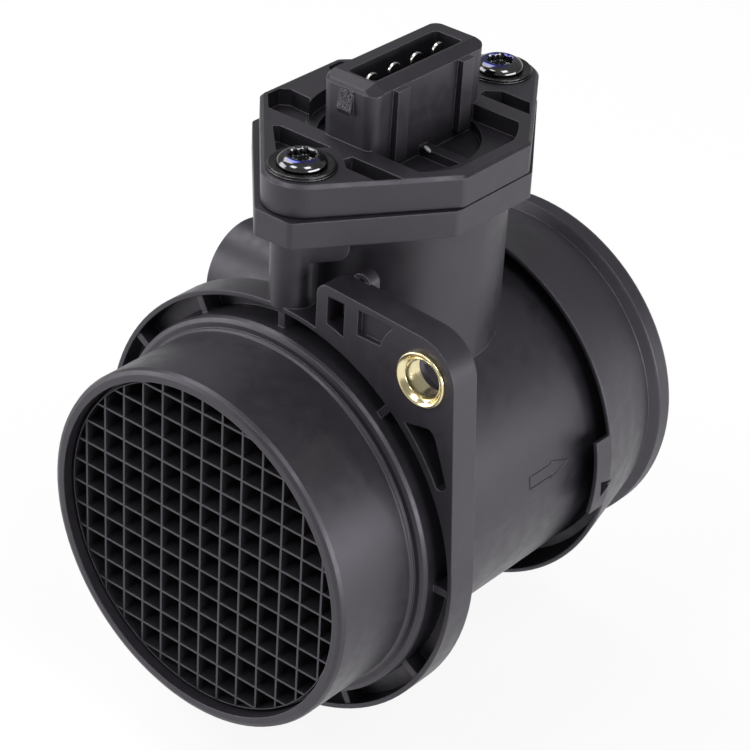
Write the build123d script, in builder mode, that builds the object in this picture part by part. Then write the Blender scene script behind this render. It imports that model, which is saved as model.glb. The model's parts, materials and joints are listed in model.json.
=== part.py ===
from build123d import *
import os

# Hot-film mass airflow sensor for a 60 mm intake pipe. All lengths are in millimetres.
# Frame: the origin is the centre of the mounting flange's front face, on the duct axis.
# Air flows along +Y, from the inlet grid to the outlet collar. The plug points up, along +Z.

os.makedirs("parts", exist_ok=True)

# running clearance between round pieces that fit into each other
fit = 0.1
# overlap of walls that grow out of each other
root = 0.3
# share of an edge's break at which its middle point lies on a quarter round
arc_share = 0.29

# ---- duct ----
inlet_front_y = -18.3
inlet_outer_r = 30.0
inlet_wall = 1.95
inlet_lip_r = inlet_outer_r - inlet_wall
rim_break = 0.9
body_step = 0.8
body_outer_r = inlet_outer_r - body_step
body_wall = 2.6
bore_r = body_outer_r - body_wall
body_end_y = 54.0
root_bead_height = 0.35
root_bead_r = inlet_outer_r + root_bead_height
root_bead_y = -2.7

# ---- mounting flange, with its pocketed front ----
shoulder_height = 2.15
shoulder_r = inlet_outer_r + shoulder_height
shoulder_y = -2.0
ring_pocket_width = 2.85
flange_wall = 0.8
flange_r = shoulder_r + ring_pocket_width + flange_wall
flange_back_y = 5.3
flange_web = 1.6
pocket_floor_y = flange_back_y - flange_web
rib_width = 1.2
rib_angles = (0, 52, 90, 119, 149)
ear_corner_inset_x = 9.4
ear_corner_inset_z = 0.9
ear_corner_x = flange_r - ear_corner_inset_x
ear_corner_z = flange_r - ear_corner_inset_z
ear_corner_r = 7.0
ear_end_x = 9.0
ear_end_r = 2.0
ear_height = 7.2
ear_top_z = flange_r + ear_height
ear_wall = 1.2
ear_pocket_left = 9.1
ear_pocket_width = 3.3
ear_pocket_band = 2.0
ear_pocket_bottom_r = flange_r + ear_pocket_band
ear_rib_width = 2.6
ear_recess_left = ear_pocket_left + ear_pocket_width + ear_rib_width
ear_recess_height = 5.8
ear_recess_z = ear_top_z - ear_recess_height
ear_recess = 1.0
crescent_r = 1.2
crescent_bend_r = 1.6
crescent_bend_x = 1.6
crescent_bend_z = -9.4
crescent_tips = [(-2.1, -9.7), (4.5, -16.1)]
lug_x = 11.3
lug_r = 1.7
lug_eye_r = 0.9
lug_drop = 0.8
lug_z = ear_top_z - lug_drop
lug_reach = 1.9
lug_back_y = flange_back_y + lug_reach

# ---- bolt bushes in the ears ----
bush_offset_x = 1.1
bush_offset_z = 0.2
bush_x = ear_corner_x + bush_offset_x
bush_z = ear_corner_z + bush_offset_z
bush_r = 4.0
bush_hole_r = 3.2
bush_collar_r = 4.4
bush_collar_rise = 0.7
bush_lip = 0.5
bush_round = 0.3
bush_throat = 0.22
bush_boss_r = 8.4

# ---- inlet grid ----
grid_pitch = 4.07
grid_bar = 0.34
grid_depth = 8.0
grid_front_y = -16.7
grid_seat_y = grid_front_y + grid_depth
grid_rim = 0.75
grid_inner_r = inlet_lip_r - grid_rim
grid_groove = 0.5
grid_groove_depth = 1.5

# ---- tower and platform ----
tower_y = 26.0
tower_r = 17.6
tower_wall = 2.6
tower_bore_r = tower_r - tower_wall
tower_height = 19.3
platform_z = body_outer_r + tower_height
platform_thickness = 4.3
seat_z = platform_z + platform_thickness
screw_x = 0.1
screw_front_y = 3.5
screw_rear_y = 50.4
screw_boss_r = 3.7
screw_boss_offset = 0.8
screw_boss_x = screw_x - screw_boss_offset
screw_boss_root = 0.6
screw_boss_foot = flange_r - screw_boss_root
rear_boss_r = 5.0
rear_boss_height = 9.5
rear_boss_foot = platform_z - rear_boss_height
platform_right = 19.1
platform_left = -22.0
platform_half = 8.9
platform_end = 29.6
platform_end_right = 4.3
platform_end_left = -2.6
platform_corner_r = 1.2
gusset_start = 2.8
gusset_end = 10.4
gusset_depth = 5.1
gusset_width = 5.0
gusset_set_back = 4.6
gusset_round = 1.8

# ---- blind boss on the far side of the duct ----
boss_r = 8.9
boss_y = 25.0
boss_z = 20.4
boss_reach = 0.9
boss_end_x = -(body_outer_r + boss_reach)
boss_round = 1.6
boss_wall = 2.1
boss_core_r = boss_r - boss_wall
boss_core_depth = 2.0

# ---- outlet collar ----
collar_overlap = 9.4
collar_front_y = body_end_y - collar_overlap
collar_flare = 3.6
collar_front_r = body_outer_r + collar_flare
collar_lip = 0.7
collar_break = 0.2
collar_gap = 1.7
collar_sleeve = 4.0
collar_gap_y = body_end_y - collar_sleeve
collar_neck_reach = 6.6
collar_neck_y = body_end_y + collar_neck_reach
collar_neck_step = 0.3
collar_neck_r = body_outer_r - collar_neck_step
bead_height = 1.5
bead_r = collar_neck_r + bead_height
bead_ramp = 1.3
bead_front_y = collar_neck_y + bead_ramp
collar_reach = 11.0
collar_end_y = body_end_y + collar_reach
bead_round = 0.7
tab_reach = 3.6
tab_front_y = collar_front_y - tab_reach
tab_angle = 24.0

# ---- module cover and plug ----
cover_thickness = 5.4
cover_top = seat_z + cover_thickness
cover_left = -20.6
cover_right = platform_right
cover_left_half = 10.0
cover_right_half = 9.0
cover_corner_r = 1.6
cover_nose_r = 6.0
cover_nose_x = 0.5
cover_nose_front_y = 3.1
cover_mid_y = 26.15
cover_edge = 0.5
cover_seam = 0.3
bar_gap_half = 11.85
well_r = 14.4
well_right_r = 18.0
well_right_x = 16.8
pit_r = 12.6
pit_web = 1.1
pit_floor = seat_z + pit_web
pocket_depth = 2.8
pocket_floor_z = cover_top - pocket_depth
pit_rib_width = 2.0

shroud_x = -0.25
shroud_y = 26.85
shroud_width = 10.4
shroud_length = 26.7
shroud_corner_r = 2.0
shroud_height = 10.0
shroud_top = cover_top + shroud_height
shroud_draft = 1.2
rim_edge = 0.45
rim_slope_width = 2.2
rim_slope_drop = 0.9
cavity_width = 5.4
cavity_length = 20.8
cavity_corner_r = 0.8
cavity_web = 0.2
cavity_floor = pocket_floor_z + cavity_web
cavity_bar_height = 2.6
key_spacing = 15.2
key_width = 2.6
key_depth = 1.0
key_drop = 1.0
key_top = shroud_top - key_drop
latch_width = 2.6
latch_drop = 1.0
latch_top = shroud_top - latch_drop
latch_height = 4.0
latch_rise = 0.75
latch_root = 1.0
latch_ramp = 0.1
latch_nose = 0.7
latch_undercut = 0.2

# ---- terminals ----
pin_pitch = 5.2
pin_width = 2.8
pin_thickness = 0.8
pin_drop = 0.3
pin_tip = shroud_top - pin_drop
pin_leg_width = 1.2

# ---- sensor insert inside the tower and duct ----
cup_r = tower_bore_r - 2 * fit
cup_flange_width = 1.2
cup_flange_r = tower_bore_r + cup_flange_width
cup_flange_thickness = 1.5
cup_wall = 2.2
cup_inner_r = cup_r - cup_wall
cup_lift = 0.4
cup_foot = bore_r + cup_lift
cup_floor_thickness = 2.0
cup_floor = cup_foot + cup_floor_thickness
ledge_depth = 9.3
ledge_top = seat_z - ledge_depth
ledge_height = 2.0
ledge_width = 2.1
ledge_inner_r = cup_inner_r - ledge_width
heat_sink_thickness = 2.2
heat_sink_top = ledge_top + heat_sink_thickness
heat_sink_notch_width = 6.0
heat_sink_notch_depth = 1.2
board_thickness = 1.0
board_top = heat_sink_top + board_thickness
board_margin_x = 5.04
board_margin_y = 3.276
board_width = 2 * (cup_inner_r - board_margin_x)
board_length = 2 * (cup_inner_r - board_margin_y)
board_corner_r = 1.0
seal_height = 9.0
seal_z = cup_floor + seal_height
seal_section = 0.6
seal_ring_r = tower_bore_r - seal_section - fit
measure_outer_r = 11.0
measure_wall = 1.8
measure_inner_r = measure_outer_r - measure_wall
measure_half = 12.0
measure_front_y = tower_y - measure_half
measure_back_y = tower_y + measure_half
measure_lip = 1.0
measure_mouth = 2.4
strut_thickness = 6.0
strut_length = 20.0

# ---- sensing elements and chips ----
film_length = 8.0
film_thickness = 0.6
film_slot_width = 2.0
film_slot_height = 6.0
film_slot_offset = 1.5
air_bead_r = 1.5
air_bead_stem_r = 0.6
air_bead_reach = 4.0
air_bead_drop = 8.6
air_bead_z = bore_r - air_bead_drop
chip_width = 5.0
chip_length = 6.0
chip_height = 1.4
chip_offset = 4.4
transistor_width = 4.4
transistor_length = 5.6
transistor_height = 2.2
part_stagger = 3.0

# ---- screws and washers ----
screw_r = 2.0
screw_clear_r = 2.3
pilot_r = 2.1
pilot_depth = 12.6
screw_head_r = 3.4
screw_head_height = 1.7
screw_head_edge = 0.5
recess_r = 1.5
recess_lobe_r = 0.5
recess_lobe_offset = 0.15
recess_depth = 1.2
dome_x_share = 0.76
dome_z_share = 0.78
screw_tip_share = 0.6
screw_length = 18.0
washer_r = 5.3
washer_thickness = 1.0
washer_edge = 0.3


def across(y):
    """A plane square to the duct axis at y, seen from the inlet: X right, Z up."""
    return Plane.XZ.offset(-y)


def finish(node, name):
    node.part.label = name
    export_step(node.part, f"parts/{name}.step")
    print(name, len(node.part.solids()), round(node.part.volume, 1))


# ================= duct housing =================

# half section of the tube, shoulder and flange: x is the radius, y runs along the duct
with BuildSketch(Plane.XY) as duct_profile:
    with BuildLine():
        Polyline(
            (inlet_lip_r, inlet_front_y),
            (inlet_outer_r - rim_break, inlet_front_y),
            (inlet_outer_r - arc_share * rim_break, inlet_front_y + arc_share * rim_break),
            (inlet_outer_r, inlet_front_y + rim_break),
            (inlet_outer_r, root_bead_y),
            (root_bead_r, root_bead_y + root_bead_height),
            (root_bead_r, shoulder_y),
            (shoulder_r - rim_break, shoulder_y),
            (shoulder_r - arc_share * rim_break, shoulder_y + arc_share * rim_break),
            (shoulder_r, shoulder_y + rim_break),
            (shoulder_r, pocket_floor_y),
            (flange_r - flange_wall, pocket_floor_y),
            (flange_r - flange_wall, 0),
            (flange_r, 0),
            (flange_r, flange_back_y),
            (body_outer_r, flange_back_y),
            (body_outer_r, body_end_y),
            (bore_r, body_end_y),
            (bore_r, grid_seat_y),
            (inlet_lip_r, grid_seat_y),
            close=True,
        )
    make_face()


def ear_outline():
    """Square-cornered ear that grows out of the round flange, in the plane's own axes."""
    with Locations((ear_corner_x, ear_corner_z)):
        Circle(ear_corner_r)
    with Locations(
        (ear_end_x, ear_top_z - ear_end_r),
        (ear_end_x, body_outer_r - ear_end_r),
        (flange_r - ear_end_r, 0),
    ):
        Circle(ear_end_r)
    make_hull()


# deep pockets: a narrow one at the ear's inner end, and a crescent between the arc wall and the bush boss
with BuildSketch() as ear_pockets:
    with BuildSketch(mode=Mode.PRIVATE) as crescent:
        for tip_x, tip_z in crescent_tips:
            with Locations((bush_x + tip_x, bush_z + tip_z)):
                Circle(crescent_r)
        with Locations((bush_x + crescent_bend_x, bush_z + crescent_bend_z)):
            Circle(crescent_bend_r)
        make_hull()
        Circle(flange_r + flange_wall / 2, mode=Mode.SUBTRACT)
    ear_outline()
    offset(amount=-ear_wall)
    with Locations((ear_pocket_left, ear_pocket_bottom_r)):
        Rectangle(ear_pocket_width, ear_corner_r, align=(Align.MIN, Align.CENTER), mode=Mode.INTERSECT)
    Circle(ear_pocket_bottom_r, mode=Mode.SUBTRACT)
    add(crescent.sketch)

# shallow recess between the ear's rib and the bush boss
with BuildSketch() as ear_recess_outline:
    ear_outline()
    offset(amount=-ear_wall)
    with Locations((bush_x, bush_z)):
        Circle(bush_boss_r, mode=Mode.SUBTRACT)
    with Locations((ear_recess_left, ear_recess_z)):
        Rectangle(bush_boss_r, ear_corner_r, align=(Align.MIN, Align.MIN), mode=Mode.INTERSECT)

ear_up = Plane(origin=(0, flange_back_y, 0), x_dir=(1, 0, 0), z_dir=(0, -1, 0))
ear_down = Plane(origin=(0, flange_back_y, 0), x_dir=(-1, 0, 0), z_dir=(0, -1, 0))

platform_points = [
    (platform_end_right, tower_y - platform_end),
    (platform_right, tower_y - platform_half),
    (platform_right, tower_y + platform_half),
    (platform_end_right, tower_y + platform_end),
    (platform_end_left, tower_y + platform_end),
    (platform_left, tower_y + platform_half),
    (platform_left, tower_y - platform_half),
    (platform_end_left, tower_y - platform_end),
]

# upright plane on the platform's slanted front right side: x runs along the side, z points outward
platform_slant = Plane(
    origin=(platform_end_right, tower_y - platform_end, platform_z),
    x_dir=(platform_right - platform_end_right, platform_end - platform_half, 0),
    z_dir=(platform_end - platform_half, platform_end_right - platform_right, 0),
)

with BuildPart() as duct_housing:
    # flange ears, solid to begin with
    for ear_plane in (ear_up, ear_down):
        with BuildSketch(ear_plane):
            ear_outline()
        extrude(amount=flange_back_y)
    # tower, screw bosses and platform
    with BuildSketch(Plane.XY.offset(bore_r / 2)):
        with Locations((0, tower_y)):
            Circle(tower_r)
    extrude(amount=platform_z - bore_r / 2)
    with BuildSketch(Plane.XY.offset(screw_boss_foot)):
        with Locations((screw_boss_x, screw_front_y)):
            Circle(screw_boss_r)
    extrude(amount=platform_z - screw_boss_foot)
    with BuildSketch(Plane.XY.offset(rear_boss_foot)):
        with Locations((screw_x, screw_rear_y)):
            Circle(rear_boss_r)
        with Locations((screw_x, (screw_rear_y + tower_y) / 2)):
            Rectangle(rear_boss_r, screw_rear_y - tower_y)
    extrude(amount=platform_z - rear_boss_foot)
    with BuildSketch(Plane.XY.offset(platform_z)) as platform_outline:
        with BuildLine():
            Polyline(*platform_points, close=True)
        make_face()
        fillet(platform_outline.vertices(), platform_corner_r)
    extrude(amount=seat_z - platform_z)
    # web under the platform, from the front boss to the tower
    with BuildSketch(platform_slant.offset(-gusset_set_back)) as gusset:
        with Locations((gusset_end, 0)):
            Rectangle(gusset_end - gusset_start, gusset_depth, align=(Align.MAX, Align.MAX))
        fillet(gusset.vertices().group_by(Axis.Z)[0].sort_by(Axis.X)[-1], gusset_round)
    extrude(amount=-gusset_width)
    # blind boss on the far side
    with BuildSketch(Plane.YZ.offset(boss_end_x)):
        with Locations((boss_y, boss_z)):
            Circle(boss_r)
    extrude(amount=-boss_end_x - boss_r)
    boss_rim = duct_housing.edges().filter_by(GeomType.CIRCLE).sort_by(Axis.X)[0]
    fillet(boss_rim, boss_round)
    # the tube clears its own inside before the walls are added back
    with BuildSketch(across(body_end_y)):
        Circle(body_outer_r - root)
    extrude(amount=body_end_y - flange_back_y, mode=Mode.SUBTRACT)
    with BuildSketch(across(flange_back_y)):
        Circle(flange_r - root)
    extrude(amount=flange_back_y, mode=Mode.SUBTRACT)
    with BuildSketch(Plane.XY):
        add(duct_profile.sketch)
    revolve(axis=Axis.Y)
    # radial ribs in the flange's ring pocket
    with BuildSketch(across(flange_back_y)):
        for rib_angle in rib_angles:
            for half_turn in (0, 180):
                with PolarLocations((shoulder_r + flange_r - flange_wall) / 2, 1, rib_angle + half_turn):
                    Rectangle(ring_pocket_width + 2 * root, rib_width)
    extrude(amount=flange_back_y - root)
    # pockets in the ears, round the bush bosses
    for ear_plane in (ear_up, ear_down):
        with BuildSketch(ear_plane.offset(flange_web)):
            add(ear_pockets.sketch)
        extrude(amount=pocket_floor_y, mode=Mode.SUBTRACT)
        with BuildSketch(ear_plane.offset(flange_back_y - ear_recess)):
            add(ear_recess_outline.sketch)
        extrude(amount=ear_recess, mode=Mode.SUBTRACT)
        with BuildSketch(ear_plane):
            with Locations((bush_x, bush_z)):
                Circle(bush_r + fit)
        extrude(amount=flange_back_y, mode=Mode.SUBTRACT)
    # small lug behind the upper ear's top edge
    with BuildSketch(across(lug_back_y)):
        with Locations((lug_x, lug_z)):
            Circle(lug_r)
            Rectangle(2 * lug_r, 4 * lug_r, align=(Align.CENTER, Align.MAX))
            Circle(lug_eye_r, mode=Mode.SUBTRACT)
    extrude(amount=lug_back_y - flange_back_y + root)
    # bore of the tower, down into the duct
    with BuildSketch(Plane.XY.offset(bore_r / 2)):
        with Locations((0, tower_y)):
            Circle(tower_bore_r)
    extrude(amount=seat_z - bore_r / 2, mode=Mode.SUBTRACT)
    # recess for the insert's flange
    with BuildSketch(Plane.XY.offset(seat_z)):
        with Locations((0, tower_y)):
            Circle(cup_flange_r + 2 * fit)
    extrude(amount=-cup_flange_thickness, mode=Mode.SUBTRACT)
    # pilot holes for the cover's screws
    with BuildSketch(Plane.XY.offset(seat_z)):
        with Locations((screw_x, screw_front_y), (screw_x, screw_rear_y)):
            Circle(pilot_r)
    extrude(amount=-pilot_depth, mode=Mode.SUBTRACT)
    # cored end of the blind boss
    with BuildSketch(Plane.YZ.offset(boss_end_x)):
        with Locations((boss_y, boss_z)):
            Circle(boss_core_r)
    extrude(amount=boss_core_depth, mode=Mode.SUBTRACT)

finish(duct_housing, "duct_housing")


# ================= inlet grid =================

with BuildSketch(across(grid_seat_y)) as grid_cells:
    with GridLocations(grid_pitch, grid_pitch, 14, 14):
        Rectangle(grid_pitch - grid_bar, grid_pitch - grid_bar)
    Circle(grid_inner_r, mode=Mode.INTERSECT)

with BuildPart() as inlet_grid:
    with BuildSketch(across(grid_seat_y)):
        Circle(inlet_lip_r - fit)
        add(grid_cells.sketch, mode=Mode.SUBTRACT)
    extrude(amount=grid_depth)
    with BuildSketch(across(grid_front_y)):
        Circle(inlet_lip_r)
        Circle(inlet_lip_r - fit - grid_groove, mode=Mode.SUBTRACT)
    extrude(amount=-grid_groove_depth, mode=Mode.SUBTRACT)

finish(inlet_grid, "inlet_grid")


# ================= outlet collar =================

# half section: spigot with its bead, and the skirt that flares forward over the tube
with BuildSketch(Plane.XY) as collar_profile:
    with BuildLine():
        Polyline(
            (bore_r, collar_end_y),
            (bore_r, body_end_y),
            (body_outer_r + fit, body_end_y),
            (body_outer_r + fit, collar_gap_y),
            (body_outer_r + collar_gap, collar_gap_y),
            (collar_front_r - collar_lip, collar_front_y),
            (collar_front_r - collar_break, collar_front_y),
            (collar_front_r, collar_front_y + collar_break),
            (collar_neck_r + root, collar_neck_y - 2 * root),
            (collar_neck_r, collar_neck_y),
            (bead_r - root, bead_front_y - root),
            (bead_r, bead_front_y),
            (bead_r, collar_end_y - bead_round),
            (bead_r - arc_share * bead_round, collar_end_y - arc_share * bead_round),
            (bead_r - bead_round, collar_end_y),
            (bore_r, collar_end_y),
        )
    make_face()

with BuildPart() as outlet_collar:
    with BuildSketch(Plane.XY):
        add(collar_profile.sketch)
    revolve(axis=Axis.Y)
    # marking tab on the skirt's front edge
    with BuildSketch(Plane.XY.rotated((0, tab_angle / 2, 0))):
        with BuildLine():
            Polyline(
                (collar_front_r - collar_lip, collar_front_y + root),
                (collar_front_r, collar_front_y + root),
                (collar_front_r, tab_front_y),
                (collar_front_r - collar_lip, tab_front_y),
                close=True,
            )
        make_face()
    revolve(axis=Axis.Y, revolution_arc=-tab_angle)

finish(outlet_collar, "outlet_collar")


# ================= module cover with plug shroud =================

# lightening pockets of the front half: one beside the bar's left end, two in front of the bar
nose_pocket_outlines = [
    [(-16.3, 14.3), (-19.5, 17.7), (-19.5, 20.4), (-18.1, 21.5), (-13.9, 21.2), (-8.8, 14.3)],
    [(-11.7, 10.2), (-10.9, 11.0), (-0.8, 11.0), (-5.8, 4.4)],
    [(3.0, 9.4), (3.4, 11.0), (13.2, 11.0), (10.6, 7.6), (5.1, 7.6)],
]

# sunk field of the cover between its two cross bars, and the pockets, the same at both ends
with BuildSketch() as cover_pockets:
    with Locations((0, cover_mid_y)):
        Circle(well_r)
    with BuildSketch(mode=Mode.PRIVATE) as right_field:
        with Locations((0, cover_mid_y)):
            Circle(well_right_r)
            Rectangle(well_right_x, 2 * well_right_r, align=(Align.MIN, Align.CENTER), mode=Mode.INTERSECT)
    add(right_field.sketch)
    with Locations((0, cover_mid_y)):
        Rectangle(4 * well_r, 2 * bar_gap_half, mode=Mode.INTERSECT)
    for outline in nose_pocket_outlines:
        with BuildLine():
            Polyline(*outline, close=True)
        make_face()
    mirror(cover_pockets.sketch, about=Plane.XZ.offset(-cover_mid_y))

shroud_right = shroud_x + shroud_width / 2
shroud_front = shroud_y - shroud_length / 2

with BuildPart() as module_cover:
    with BuildSketch(Plane.XY.offset(seat_z)):
        with Locations((cover_nose_x, cover_nose_front_y), (cover_nose_x, screw_rear_y)):
            Circle(cover_nose_r)
        for corner_x, half in (
            (cover_left + cover_corner_r, cover_left_half - cover_corner_r),
            (cover_right - cover_corner_r, cover_right_half - cover_corner_r),
        ):
            with Locations((corner_x, cover_mid_y - half), (corner_x, cover_mid_y + half)):
                Circle(cover_corner_r)
        make_hull()
    extrude(amount=cover_top - seat_z)
    chamfer(module_cover.faces().sort_by(Axis.Z)[-1].outer_wire().edges(), cover_edge)
    chamfer(module_cover.faces().sort_by(Axis.Z)[0].outer_wire().edges(), cover_seam)
    with BuildSketch(Plane.XY.offset(pocket_floor_z)):
        add(cover_pockets.sketch)
    extrude(amount=cover_top - pocket_floor_z, mode=Mode.SUBTRACT)
    # round pit about the plug, crossed by a low rib on each side
    with BuildSketch(Plane.XY.offset(pit_floor)):
        with Locations((0, cover_mid_y)):
            Circle(pit_r)
            Rectangle(2 * pit_r, 2 * bar_gap_half, mode=Mode.INTERSECT)
            Rectangle(2 * pit_r, pit_rib_width, mode=Mode.SUBTRACT)
    extrude(amount=pocket_floor_z - pit_floor, mode=Mode.SUBTRACT)
    # plug shroud, widest at its rim
    with BuildSketch(Plane.XY.offset(shroud_top)):
        with Locations((shroud_x, shroud_y)):
            RectangleRounded(shroud_width, shroud_length, shroud_corner_r)
    extrude(amount=-(shroud_top - pit_floor), taper=shroud_draft)
    chamfer(module_cover.faces().sort_by(Axis.Z)[-1].outer_wire().edges(), rim_edge)
    # the rim falls away towards the side that carries the coding keys
    with BuildSketch(across(shroud_front - 1)):
        with BuildLine():
            Polyline(
                (shroud_right - rim_slope_width, shroud_top),
                (shroud_right + 1, shroud_top),
                (shroud_right + 1, shroud_top - rim_slope_drop),
                (shroud_right, shroud_top - rim_slope_drop),
                close=True,
            )
        make_face()
    extrude(amount=-(shroud_length + 2), mode=Mode.SUBTRACT)
    # coding keys on the side and latch ramps on the ends
    with BuildSketch(Plane.XY.offset(pocket_floor_z)):
        with Locations((shroud_right + key_depth, shroud_y)):
            with GridLocations(1, key_spacing, 1, 2):
                Rectangle(2 * key_depth, key_width, align=(Align.MAX, Align.CENTER))
    extrude(amount=key_top - pocket_floor_z)
    with BuildSketch(Plane.YZ.offset(shroud_x)) as latch:
        with BuildLine():
            Polyline(
                (shroud_front + latch_root, latch_top),
                (shroud_front - latch_ramp, latch_top),
                (shroud_front - latch_rise, latch_top - latch_height + latch_nose),
                (shroud_front - latch_rise + latch_undercut, latch_top - latch_height),
                (shroud_front + latch_root, latch_top - latch_height),
                close=True,
            )
        make_face()
        mirror(about=Plane.YZ.offset(shroud_y))
    extrude(amount=latch_width / 2, both=True)
    # socket of the plug, with the bars that the terminals stand in
    with BuildSketch(Plane.XY.offset(shroud_top)):
        with Locations((shroud_x, shroud_y)):
            RectangleRounded(cavity_width, cavity_length, cavity_corner_r)
    extrude(amount=-(shroud_top - cavity_floor), mode=Mode.SUBTRACT)
    with BuildSketch(Plane.XY.offset(cavity_floor)):
        with Locations((shroud_x, shroud_y)):
            Rectangle(2 * pin_thickness, cavity_length)
        with Locations((shroud_x, shroud_y)):
            with GridLocations(1, pin_pitch, 1, 3):
                Rectangle(cavity_width, pin_thickness)
    extrude(amount=cavity_bar_height)
    # slots that hold the terminals, and the clearance holes of the screws
    with BuildSketch(Plane.XY.offset(seat_z)):
        with Locations((shroud_x, shroud_y)):
            with GridLocations(1, pin_pitch, 1, 4):
                Rectangle(pin_thickness, pin_width)
    extrude(amount=shroud_top - seat_z, mode=Mode.SUBTRACT)
    with BuildSketch(Plane.XY.offset(seat_z)):
        with Locations((screw_x, screw_front_y), (screw_x, screw_rear_y)):
            Circle(screw_clear_r)
    extrude(amount=cover_top - seat_z, mode=Mode.SUBTRACT)

finish(module_cover, "module_cover")


# ================= terminals =================

def terminal_pin(index):
    """Flat blade with a round tip in the socket, and a narrow leg down to the circuit board."""
    pin_y = shroud_y + (index - 1.5) * pin_pitch
    with BuildPart() as pin:
        with BuildSketch(Plane.YZ.offset(shroud_x)):
            with Locations((pin_y, pin_tip - pin_width / 2)):
                Circle(pin_width / 2)
                Rectangle(pin_width, pin_tip - pin_width / 2 - seat_z, align=(Align.CENTER, Align.MAX))
            with Locations((pin_y, seat_z)):
                Rectangle(pin_leg_width, seat_z - board_top, align=(Align.CENTER, Align.MAX))
        extrude(amount=pin_thickness / 2, both=True)
    return pin


for index in range(4):
    finish(terminal_pin(index), f"terminal_pin_{index + 1}")


# ================= sensor insert =================

with BuildPart() as stem_cup:
    with BuildSketch(Plane.XY.offset(cup_foot)):
        with Locations((0, tower_y)):
            Circle(cup_r)
    extrude(amount=seat_z - cup_foot)
    with BuildSketch(Plane.XY.offset(seat_z)):
        with Locations((0, tower_y)):
            Circle(cup_flange_r)
    extrude(amount=-cup_flange_thickness)
    with BuildSketch(Plane.XY.offset(ledge_top)):
        with Locations((0, tower_y)):
            Circle(cup_inner_r)
    extrude(amount=seat_z - ledge_top, mode=Mode.SUBTRACT)
    with BuildSketch(Plane.XY.offset(ledge_top - ledge_height)):
        with Locations((0, tower_y)):
            Circle(ledge_inner_r)
    extrude(amount=ledge_height, mode=Mode.SUBTRACT)
    with BuildSketch(Plane.XY.offset(cup_floor)):
        with Locations((0, tower_y)):
            Circle(cup_inner_r)
    extrude(amount=ledge_top - ledge_height - cup_floor, mode=Mode.SUBTRACT)
    # groove of the sealing ring
    with BuildSketch(Plane.XY.offset(seal_z - seal_section - fit)):
        with Locations((0, tower_y)):
            Circle(cup_r)
            Circle(seal_ring_r - seal_section - fit, mode=Mode.SUBTRACT)
    extrude(amount=2 * (seal_section + fit), mode=Mode.SUBTRACT)
    # the foot follows the roof of the bore
    with BuildSketch(across(body_end_y)):
        Circle(bore_r)
    extrude(amount=body_end_y, mode=Mode.SUBTRACT)
    # slot for the measuring tube's strut
    with BuildSketch(Plane.XY.offset(cup_foot)):
        with Locations((0, tower_y)):
            SlotOverall(strut_length + 2 * fit, strut_thickness + 2 * fit, rotation=90)
    extrude(amount=cup_floor - cup_foot, mode=Mode.SUBTRACT)

finish(stem_cup, "stem_cup")

with BuildPart() as stem_seal:
    with BuildSketch(Plane.XZ):
        with Locations((seal_ring_r, seal_z)):
            Circle(seal_section)
    revolve(axis=Axis.Z)

stem_seal.part.locate(Location((0, tower_y, 0)))
finish(stem_seal, "stem_seal")

with BuildPart() as measuring_tube:
    with BuildSketch(Plane.XY.offset(measure_outer_r / 2)):
        with Locations((0, tower_y)):
            SlotOverall(strut_length, strut_thickness, rotation=90)
    extrude(amount=cup_floor - measure_outer_r / 2)
    with BuildSketch(Plane.XY):
        with BuildLine():
            Polyline(
                (measure_inner_r, measure_back_y),
                (measure_outer_r, measure_back_y),
                (measure_outer_r, measure_front_y + measure_lip),
            )
            RadiusArc(
                (measure_outer_r, measure_front_y + measure_lip),
                (measure_outer_r - measure_lip, measure_front_y),
                -measure_lip,
            )
            Polyline(
                (measure_outer_r - measure_lip, measure_front_y),
                (measure_inner_r, measure_front_y + measure_mouth),
                (measure_inner_r, measure_back_y),
            )
        make_face()
    revolve(axis=Axis.Y)
    with BuildSketch(across(measure_back_y)):
        Circle(measure_inner_r)
    extrude(amount=measure_back_y - measure_front_y, mode=Mode.SUBTRACT)

finish(measuring_tube, "measuring_tube")

film_height = 2 * (measure_inner_r - fit)

with BuildPart() as hot_film_element:
    with BuildSketch(Plane.YZ):
        with Locations((tower_y, 0)):
            Rectangle(film_length, film_height)
        with Locations((tower_y + film_slot_offset, 0)):
            Rectangle(film_slot_width, film_slot_height, mode=Mode.SUBTRACT)
    extrude(amount=film_thickness / 2, both=True)

finish(hot_film_element, "hot_film_element")

strut_front_y = tower_y - strut_length / 2
bead_centre_y = strut_front_y - air_bead_reach

with BuildPart() as air_temperature_sensor:
    with BuildSketch(across(strut_front_y - fit)):
        with Locations((0, air_bead_z)):
            Circle(air_bead_stem_r)
    extrude(amount=strut_front_y - fit - bead_centre_y)
    with BuildSketch(Plane.XY.offset(air_bead_z)):
        with Locations((0, bead_centre_y)):
            Circle(air_bead_r)
            Rectangle(3 * air_bead_r, 3 * air_bead_r, align=(Align.MAX, Align.CENTER), mode=Mode.SUBTRACT)
    revolve(axis=Axis((0, bead_centre_y, air_bead_z), (0, 1, 0)))

finish(air_temperature_sensor, "air_temperature_sensor")

with BuildPart() as heat_sink:
    with BuildSketch(Plane.XY.offset(ledge_top)):
        with Locations((0, tower_y)):
            Circle(cup_inner_r - fit)
            with GridLocations(2 * cup_inner_r, 1, 2, 1):
                Rectangle(2 * heat_sink_notch_depth, heat_sink_notch_width, mode=Mode.SUBTRACT)
    extrude(amount=heat_sink_top - ledge_top)

finish(heat_sink, "heat_sink")

with BuildPart() as circuit_board:
    with BuildSketch(Plane.XY.offset(heat_sink_top)):
        with Locations((0, tower_y)):
            RectangleRounded(board_width, board_length, board_corner_r)
    extrude(amount=board_thickness)

finish(circuit_board, "circuit_board")

with BuildPart() as control_chip:
    with BuildSketch(Plane.XY.offset(board_top)):
        with Locations((chip_offset, tower_y - part_stagger)):
            Rectangle(chip_width, chip_length)
    extrude(amount=chip_height)

finish(control_chip, "control_chip")

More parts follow.
